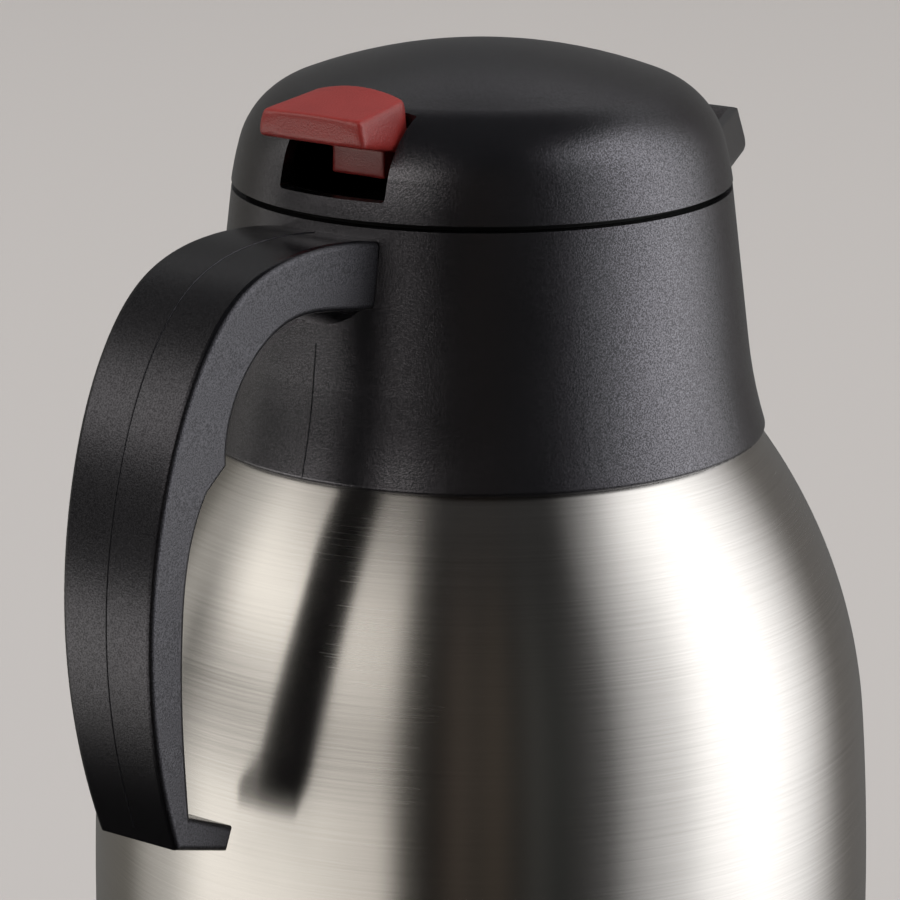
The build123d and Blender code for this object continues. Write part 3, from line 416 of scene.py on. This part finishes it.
# A parting line runs over the handle's crest and down the middle of the outer face.
handle_line_top = 0.216
handle_line_low = 0.1235
crest_start_x = -0.05        # the crest is looked for from above, backwards from here
crest_from_z = 0.26
crest_steps = 40
spine = [cast("handle_arm", (parting_from_x, 0, handle_line_top - i * parting_step), (1, 0, 0))
         for i in range(int((handle_line_top - handle_line_low) / parting_step))]
crest = [cast("handle_arm", (crest_start_x - i * parting_step, 0, crest_from_z), (0, 0, -1))
         for i in range(crest_steps)]
crest = [p for p in crest if p and p.z > handle_line_top]
handle_line = bead("handle_parting_line", crest + [p for p in spine if p], parting_r,
                   moulded_handle)
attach(handle_line, "vessel")

# ---------------------------------------------------------------- screws, pin, rod, spring and clip
# Bright stainless hardware, cold headed, turned or coiled. It is smoother than the sheet
# and shows only the close rings of the turning.
bright_steel = linear("#bfbfc1")
bright_steel_dark = linear("#a9a9ab")
turning_pitch = 0.0003       # finer on the real pins; drawn coarser to show
turning_spread = 1 / 60      # the length over which a ring changes

# Turned steel: a clear shine broken by close rings.
turned, tree = new_material("stainless_steel_turned_bright")
place = node(tree, "ShaderNodeTexCoord")
stretch = node(tree, "ShaderNodeMapping",
               {"Scale": (1 / turning_spread, 1 / turning_spread, 1 / turning_pitch)},
               {"Vector": place.outputs["Object"]})
rings = node(tree, "ShaderNodeTexNoise", {"Scale": 1.0, "Detail": 2.0},
             {"Vector": stretch.outputs["Vector"]})
tint = node(tree, "ShaderNodeMixRGB", {"Color1": bright_steel_dark, "Color2": bright_steel},
            {"Fac": rings.outputs["Fac"]})
shine = node(tree, "ShaderNodeMapRange", {"To Min": 0.15, "To Max": 0.32},
             {"Value": rings.outputs["Fac"]})
skin = node(tree, "ShaderNodeBsdfPrincipled", {"Metallic": 1.0},
            {"Base Color": tint.outputs["Color"], "Roughness": shine.outputs["Result"]})
node(tree, "ShaderNodeOutputMaterial", links={"Surface": skin.outputs["BSDF"]})
for name in ("handle_screws", "lid_screws", "lever_pin", "valve_rod", "rod_clip"):
    dress(name, turned)

# A compression spring under the cap, from its foot in the deck's well up to its head
# under the cap.
spring_low, spring_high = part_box("valve_spring")
spring_wire_r = 0.00045
spring_r = spring_high.x - spring_wire_r
spring_turns = 6
spring_end_pitch = 0.00095   # the end turns lie against the next
spring_end_turns = 1
spring_steps = 40
wire_sides = 10
spring_start_z = spring_low.z + spring_wire_r
open_turns = spring_turns - 2 * spring_end_turns
open_rise = (spring_high.z - spring_wire_r - spring_start_z
             - 2 * spring_end_turns * spring_end_pitch)
open_pitch = open_rise / open_turns


def wind(name, sections, finish):
    """Join a row of closed sections, each a list of points, into one capped solid."""
    mesh = bmesh.new()
    rings = [[mesh.verts.new(point) for point in section] for section in sections]
    join_rings(mesh, zip(rings, rings[1:]))
    mesh.faces.new(rings[0][::-1])
    mesh.faces.new(rings[-1])
    bmesh.ops.recalc_face_normals(mesh, faces=mesh.faces)
    return finish_mesh(name, mesh, finish)


def wire_section(wound):
    """The wire's round section after so many turns of the spring."""
    opened = min(max(wound - spring_end_turns, 0), open_turns)
    height = spring_start_z + opened * open_pitch + (wound - opened) * spring_end_pitch
    section = []
    for k in range(wire_sides):
        out = spring_r + spring_wire_r * cos(2 * pi * k / wire_sides)
        up = height + spring_wire_r * sin(2 * pi * k / wire_sides)
        section.append((out * cos(2 * pi * wound), out * sin(2 * pi * wound), up))
    return section


windings = [wire_section(i / spring_steps) for i in range(spring_turns * spring_steps + 1)]
spring = wind("return_spring", windings, turned)
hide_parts("valve_spring")
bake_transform(spring)

# ---------------------------------------------------------------- stopper
# Two black polypropylene mouldings welded together: the deck that sits in the collar, and
# the plug with its ports. A single-start thread on the plug screws it into the neck.
hidden_black = linear("#0b0b0c")
hidden_black_worn = linear("#121213")
hidden_patch = 0.01

# Moulded PP from a plain blasted tool: dull, with slow patches where it sheds the steam.
matt_black, tree = new_material("polypropylene_blasted_matt")
place = node(tree, "ShaderNodeTexCoord")
patches = node(tree, "ShaderNodeTexNoise", {"Scale": 1 / hidden_patch, "Detail": 3.0},
               {"Vector": place.outputs["Object"]})
tint = node(tree, "ShaderNodeMixRGB", {"Color1": hidden_black, "Color2": hidden_black_worn},
            {"Fac": patches.outputs["Fac"]})
shine = node(tree, "ShaderNodeMapRange", {"To Min": 0.5, "To Max": 0.65},
             {"Value": patches.outputs["Fac"]})
skin = node(tree, "ShaderNodeBsdfPrincipled", {"IOR": 1.49, "Specular IOR Level": 0.3},
            {"Base Color": tint.outputs["Color"], "Roughness": shine.outputs["Result"]})
node(tree, "ShaderNodeOutputMaterial", links={"Surface": skin.outputs["BSDF"]})
for name in ("stopper_deck", "stopper_plug"):
    dress(name, matt_black)

thread_root_r = 0.0304
thread_crest_r = 0.0322
thread_base_z = 0.1985
thread_pitch = 0.005
thread_turns = 2.0
thread_half_w = 0.0011
thread_crest_half_w = thread_half_w / 3
thread_sunk_r = thread_root_r - 0.0004
thread_fade = 1 / 8          # share of its length over which each end rises
thread_steps = 96


def thread_section(share):
    """The ridge's section at a share of its length: it fades out at both ends."""
    turn = 2 * pi * share * thread_turns
    height = thread_base_z + share * thread_turns * thread_pitch
    full = min(1.0, share / thread_fade, (1 - share) / thread_fade)
    crest_r = thread_root_r + (thread_crest_r - thread_root_r) * full
    shape = [(thread_sunk_r, -thread_half_w), (thread_root_r, -thread_half_w),
             (crest_r, -thread_crest_half_w), (crest_r, thread_crest_half_w),
             (thread_root_r, thread_half_w), (thread_sunk_r, thread_half_w)]
    return [(r * cos(turn), r * sin(turn), height + z) for r, z in shape]


thread_count = int(thread_turns * thread_steps)
ridge = [thread_section(i / thread_count) for i in range(thread_count + 1)]
plug_thread = wind("plug_thread", ridge, matt_black)
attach(plug_thread, "lid")

# ---------------------------------------------------------------- valve
# The cap the lever presses and the plate that closes the plug are white acetal, turned or
# moulded smooth. They slide on the steel rod and carry a silicone ring.
acetal = linear("#d9d8d3")
acetal_shade = linear("#cbc9c3")
acetal_patch = 0.004

# Moulded acetal: waxy white with a soft shine.
moulded_acetal, tree = new_material("acetal_moulded_white")
place = node(tree, "ShaderNodeTexCoord")
clouds = node(tree, "ShaderNodeTexNoise", {"Scale": 1 / acetal_patch, "Detail": 2.0},
              {"Vector": place.outputs["Object"]})
tint = node(tree, "ShaderNodeMixRGB", {"Color1": acetal, "Color2": acetal_shade},
            {"Fac": clouds.outputs["Fac"]})
shine = node(tree, "ShaderNodeMapRange", {"To Min": 0.28, "To Max": 0.4},
             {"Value": clouds.outputs["Fac"]})
skin = node(tree, "ShaderNodeBsdfPrincipled",
            {"IOR": 1.48, "Subsurface Weight": 0.1, "Subsurface Scale": 0.001},
            {"Base Color": tint.outputs["Color"], "Roughness": shine.outputs["Result"]})
node(tree, "ShaderNodeOutputMaterial", links={"Surface": skin.outputs["BSDF"]})
for name in ("push_cap", "valve_plate"):
    dress(name, moulded_acetal)

# ---------------------------------------------------------------- lid cover
# A domed black polypropylene cover, screwed to the deck from below. It comes from the same
# kind of grained tool as the collar, with a window for the lever.
dress("lid_dome", moulded_black)

# ---------------------------------------------------------------- thumb lever
# A brick-red polypropylene lever on a steel pin: the pad outside the lid is pressed down,
# and the nose inside pushes the valve. Satin, with the same fine tool grain.
brick = linear("#872c29")
brick_dark = linear("#7b2624")
lever_grain = 0.00035
pigment_patch = 1 / 120
lever_split_x = -0.030       # between the part that shows and the arm under the cover
lever_lap = 0.0008           # how far the two parts reach into each other
lever_weld = 1e-6            # closes the seams between the faces of the CAD's mesh
lever_voxel = 0.00025
pad_inner_x = -0.036
pad_outer_x = -0.0512
pad_low_z = (0.2366, 0.2396)  # underside at the inner and outer end
pad_top_z = (0.2475, 0.2447)
pad_draft = 0.10             # share by which the top is narrower than the underside
pad_half_w = 0.0105
pad_dish = 0.0004
top_facing = 0.8             # the least upward part of a normal on the pad's top
corner_x = pad_inner_x + 0.001
corner_y = 0.0075
corner_passes = 50           # rounds the pad's upright corners
shown_x = pad_inner_x + 0.0045
edge_passes = 8              # softens every edge that shows

# Moulded red PP: an even pigment, fine grain, paler where the light grazes it.
moulded_red, tree = new_material("polypropylene_red_satin")
place = node(tree, "ShaderNodeTexCoord")
grain = node(tree, "ShaderNodeTexNoise", {"Scale": 1 / lever_grain, "Detail": 1.5},
             {"Vector": place.outputs["Object"]})
clouds = node(tree, "ShaderNodeTexNoise", {"Scale": 1 / pigment_patch, "Detail": 2.0},
              {"Vector": place.outputs["Object"]})
tint = node(tree, "ShaderNodeMixRGB", {"Color1": brick_dark, "Color2": brick},
            {"Fac": clouds.outputs["Fac"]})
bump = node(tree, "ShaderNodeBump", {"Strength": 0.8, "Distance": 0.00008},
            {"Height": grain.outputs["Fac"]})
skin = node(tree, "ShaderNodeBsdfPrincipled",
            {"Roughness": 0.32, "IOR": 1.5, "Specular IOR Level": 0.4},
            {"Base Color": tint.outputs["Color"], "Normal": bump.outputs["Normal"]})
node(tree, "ShaderNodeOutputMaterial", links={"Surface": skin.outputs["BSDF"]})


def lever_part(cut_x, outer):
    """The lever's solid on one side of a cut, closed there."""
    mesh = bmesh.new()
    mesh.from_mesh(cad["thumb_lever"].data)
    bmesh.ops.remove_doubles(mesh, verts=mesh.verts, dist=lever_weld)
    cut = bmesh.ops.bisect_plane(mesh, geom=mesh.verts[:] + mesh.edges[:] + mesh.faces[:],
                                 plane_co=(cut_x, 0, 0), plane_no=(1, 0, 0),
                                 clear_outer=outer, clear_inner=not outer)
    rim = [part for part in cut["geom_cut"] if isinstance(part, bmesh.types.BMEdge)]
    bmesh.ops.holes_fill(mesh, edges=rim)
    return mesh


# The pad and its stem are remeshed finely, given leaning flanks, dished for the thumb and
# softened at their edges; the arm with its eye keeps the CAD's mesh.
draft = finish_mesh("lever_draft", lever_part(lever_split_x + lever_lap, True), moulded_red)
fine = draft.modifiers.new("fine", "REMESH")
fine.mode = "VOXEL"
fine.voxel_size = lever_voxel
bpy.context.view_layer.update()
moulding = bmesh.new()
moulding.from_object(draft, bpy.context.evaluated_depsgraph_get())
bpy.data.objects.remove(draft)
moulding.normal_update()
for vert in moulding.verts:
    out = (vert.co.x - pad_inner_x) / (pad_outer_x - pad_inner_x)
    if out >= 0:
        low_z = pad_low_z[0] + out * (pad_low_z[1] - pad_low_z[0])
        top_z = pad_top_z[0] + out * (pad_top_z[1] - pad_top_z[0])
        vert.co.y *= 1 - pad_draft * min(max((vert.co.z - low_z) / (top_z - low_z), 0), 1)
    along = 1 - 2 * out
    across = vert.co.y / pad_half_w
    if vert.normal.z > top_facing and abs(along) < 1 and abs(across) < 1:
        vert.co.z -= pad_dish * (1 - along ** 2) * (1 - across ** 2)
corners = [v for v in moulding.verts if v.co.x < corner_x and abs(v.co.y) > corner_y]
for _ in range(corner_passes):
    bmesh.ops.smooth_vert(moulding, verts=corners, factor=0.5, use_axis_x=True, use_axis_y=True)
shown = [v for v in moulding.verts if v.co.x < shown_x]
for _ in range(edge_passes):
    bmesh.ops.smooth_vert(moulding, verts=shown, factor=0.5,
                          use_axis_x=True, use_axis_y=True, use_axis_z=True)
arm = finish_mesh("lever_arm_draft", lever_part(lever_split_x, False), moulded_red)
moulding.from_mesh(arm.data)
bpy.data.objects.remove(arm)
lever = finish_mesh("thumb_lever_moulding", moulding, moulded_red)
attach(lever, "lever")
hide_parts("thumb_lever")

# ---------------------------------------------------------------- floor and backdrop
# A matt paper sweep: flat under the carafe, curving up all around it far behind. It holds
# the carafe's shadow and is kept out of its reflections, which show the room's lights.
paper = linear("#b7b3b1")
sweep_flat_r = 3.0
sweep_bend_r = 1.0
sweep_top_z = 3.0
sweep_thickness = 0.01
sweep_steps = 96
sweep_bend_steps = 12
sweep_out_r = sweep_flat_r + sweep_bend_r

# Matt paper: one pale tone with hardly any shine.
sweep_paper, tree = new_material("paper_matt")
skin = node(tree, "ShaderNodeBsdfPrincipled",
            {"Base Color": paper, "Roughness": 0.9, "Specular IOR Level": 0.1})
node(tree, "ShaderNodeOutputMaterial", links={"Surface": skin.outputs["BSDF"]})
flat = bmesh.new()
bmesh.ops.create_circle(flat, cap_ends=True, radius=sweep_flat_r, segments=sweep_steps)
floor = finish_mesh("floor", flat, sweep_paper)
floor.visible_glossy = False
sweep_line = arc((sweep_flat_r, sweep_bend_r), sweep_bend_r, -90, 0, sweep_bend_steps)
sweep_line += [(sweep_out_r, sweep_top_z), (sweep_out_r + sweep_thickness, sweep_top_z),
               (sweep_out_r + sweep_thickness, -sweep_thickness), (sweep_flat_r, -sweep_thickness)]
sweep = lathe("backdrop", sweep_line, sweep_steps, sweep_paper)
sweep.visible_glossy = False
sweep.visible_diffuse = False
sweep.visible_shadow = False

# ---------------------------------------------------------------- light
# A room-sized studio: a warm window on the left of the camera, a larger neutral one on the
# right, a pale wall behind the carafe and a dark room before it. A wide lamp overhead lights
# the colours and the floor; it is kept out of the reflections.
camera_side = 142.54         # degrees that turn the camera's side of the world to zero
light_bands = [              # degrees to the right of the camera, radiance
    (-180, (0.14, 0.14, 0.14)),
    (-125, (0.20, 0.19, 0.17)),
    (-102, (1.15, 1.12, 1.05)),
    (-88, (2.5, 2.41, 2.25)),
    (-60, (2.4, 2.31, 2.15)),
    (-30, (1.90, 1.81, 1.67)),
    (-23, (0.20, 0.19, 0.17)),
    (-16, (0.030, 0.027, 0.024)),
    (-7, (0.095, 0.078, 0.064)),
    (-2, (0.060, 0.052, 0.044)),
    (4, (0.085, 0.070, 0.056)),
    (10, (0.045, 0.042, 0.038)),
    (16, (0.070, 0.070, 0.066)),
    (22, (0.040, 0.042, 0.040)),
    (29, (0.060, 0.060, 0.058)),
    (37, (0.13, 0.13, 0.13)),
    (50, (0.85, 0.85, 0.85)),
    (60, (1.25, 1.25, 1.25)),
    (70, (2.1, 2.1, 2.1)),
    (88, (2.7, 2.7, 2.7)),
    (98, (2.3, 2.3, 2.3)),
    (107, (1.75, 1.75, 1.76)),
    (118, (0.95, 0.94, 0.93)),
    (126, (0.40, 0.39, 0.38)),
    (134, (0.20, 0.19, 0.18)),
    (180, (0.14, 0.14, 0.14)),
]
upper_bands = [              # the same, high above the carafe
    (-180, (0.42, 0.42, 0.42)),
    (-120, (0.36, 0.35, 0.33)),
    (-75, (0.30, 0.28, 0.26)),
    (-35, (0.22, 0.21, 0.20)),
    (-20, (0.03, 0.03, 0.03)),
    (34, (0.03, 0.03, 0.03)),
    (52, (0.9, 0.9, 0.9)),
    (68, (2.5, 2.5, 2.5)),
    (94, (2.5, 2.5, 2.5)),
    (122, (0.6, 0.6, 0.6)),
    (180, (0.42, 0.42, 0.42)),
]
band_scale = 2.8             # the ramps hold radiance divided by this
zenith = (0.05, 0.05, 0.05)
window_centre = -60          # the left window, in degrees to the right of the camera
window_edge = (0.75, 0.95)   # radians from its centre between which it fades out
window_heights = [           # sine of the angle above the horizon, share of its light
    (-0.60, 0.05),
    (-0.46, 1.0),
    (-0.19, 1.0),
    (-0.11, 0.12),
    (0.20, 0.12),
    (0.32, 1.0),
]
below = 0.1                  # share of the light that comes from far below the table
# Sines of the angles above the horizon between which the light changes
to_upper = (0.42, 0.72)      # from the bands to the upper bands
to_zenith = (0.7, 0.87)      # from those to the zenith
from_below = (-0.7, -0.28)   # from the share below to the bands
lamp_width = 4.5
lamp_place = (-0.3, -0.2, 5.0)
lamp_power = 210.0

world = bpy.data.worlds.new("studio")
bpy.context.scene.world = world
world.use_nodes = True
tree = world.node_tree
tree.nodes.clear()
place = node(tree, "ShaderNodeTexCoord")
turned_to = node(tree, "ShaderNodeVectorRotate", {"Angle": radians(camera_side)},
                 {"Vector": place.outputs["Generated"]}, rotation_type="Z_AXIS")
split = node(tree, "ShaderNodeSeparateXYZ", links={"Vector": turned_to.outputs["Vector"]})
angle = node(tree, "ShaderNodeMath", links={0: split.outputs["Y"], 1: split.outputs["X"]},
             operation="ARCTAN2")
share = node(tree, "ShaderNodeMapRange", {"From Min": -pi, "From Max": pi},
             {"Value": angle.outputs["Value"]})


def fill_ramp(ramp, stops):
    """Give a colour ramp, which starts with two stops, this list of (place, colour)."""
    elements = ramp.color_ramp.elements
    for i, (spot, colour) in enumerate(stops):
        stop = elements[i] if i < 2 else elements.new(spot)
        stop.position = spot
        stop.color = [*colour, 1.0]


low = node(tree, "ShaderNodeValToRGB", links={"Fac": share.outputs["Result"]})
high = node(tree, "ShaderNodeValToRGB", links={"Fac": share.outputs["Result"]})
for ramp, bands in ((low, light_bands), (high, upper_bands)):
    fill_ramp(ramp, [((degrees + 180) / 360, [c / band_scale for c in colour])
                     for degrees, colour in bands])
climb = node(tree, "ShaderNodeMapRange", {"From Min": to_upper[0], "From Max": to_upper[1]},
             {"Value": split.outputs["Z"]}, interpolation_type="SMOOTHSTEP")
walls = node(tree, "ShaderNodeMixRGB",
             links={"Fac": climb.outputs["Result"], "Color1": low.outputs["Color"],
                    "Color2": high.outputs["Color"]})
top = node(tree, "ShaderNodeMapRange", {"From Min": to_zenith[0], "From Max": to_zenith[1]},
           {"Value": split.outputs["Z"]}, interpolation_type="SMOOTHSTEP")
room = node(tree, "ShaderNodeMixRGB", {"Color2": [c / band_scale for c in zenith] + [1.0]},
            {"Fac": top.outputs["Result"], "Color1": walls.outputs["Color"]})
downward = node(tree, "ShaderNodeMapRange",
                {"From Min": from_below[0], "From Max": from_below[1], "To Min": below},
                {"Value": split.outputs["Z"]}, interpolation_type="SMOOTHSTEP")
rise = node(tree, "ShaderNodeMapRange", {"From Min": -1.0, "From Max": 1.0},
            {"Value": split.outputs["Z"]})
panes = node(tree, "ShaderNodeValToRGB", links={"Fac": rise.outputs["Result"]})
fill_ramp(panes, [((height + 1) / 2, [light] * 3) for height, light in window_heights])
aside = node(tree, "ShaderNodeMath", {1: radians(-window_centre)}, {0: angle.outputs["Value"]},
             operation="ADD")
apart = node(tree, "ShaderNodeMath", links={0: aside.outputs["Value"]}, operation="ABSOLUTE")
on_left = node(tree, "ShaderNodeMapRange",
               {"From Min": window_edge[1], "From Max": window_edge[0]},
               {"Value": apart.outputs["Value"]})
dimmed = node(tree, "ShaderNodeMixRGB", {"Color1": (1.0, 1.0, 1.0, 1.0)},
              {"Fac": on_left.outputs["Result"], "Color2": panes.outputs["Color"]})
share_left = node(tree, "ShaderNodeMath",
                  links={0: downward.outputs["Result"], 1: dimmed.outputs["Color"]},
                  operation="MULTIPLY")
sky = node(tree, "ShaderNodeVectorMath",
           links={0: room.outputs["Color"], "Scale": share_left.outputs["Value"]},
           operation="SCALE")
glow = node(tree, "ShaderNodeBackground", {"Strength": band_scale},
            {"Color": sky.outputs["Vector"]})
node(tree, "ShaderNodeOutputWorld", links={"Surface": glow.outputs["Background"]})
world.cycles.sampling_method = "NONE"

overhead = bpy.data.lights.new("overhead", "AREA")
overhead.shape = "DISK"
overhead.size = lamp_width
overhead.energy = lamp_power
lamp = bpy.data.objects.new("overhead", overhead)
lamp.location = lamp_place
lamp.visible_glossy = False
lamp.visible_camera = False
bpy.context.scene.collection.objects.link(lamp)

# ---------------------------------------------------------------- camera
# A long lens from the handle's side, a little above the lid and far enough away that the
# upright edges stay nearly parallel.
lens_mm = 162.96
sensor_mm = 36
camera_place = (-0.6031, -0.4545, 0.3723)
camera_tilt = 75.16          # degrees up from straight down
camera_turn = -52.54         # degrees about the vertical, from looking along +y

eye = bpy.data.cameras.new("camera")
eye.lens = lens_mm
eye.sensor_width = sensor_mm
camera = bpy.data.objects.new("camera", eye)
camera.location = camera_place
camera.rotation_euler = (radians(camera_tilt), 0, radians(camera_turn))
bpy.context.scene.collection.objects.link(camera)
bpy.context.scene.camera = camera
bpy.context.scene.view_settings.view_transform = "Standard"
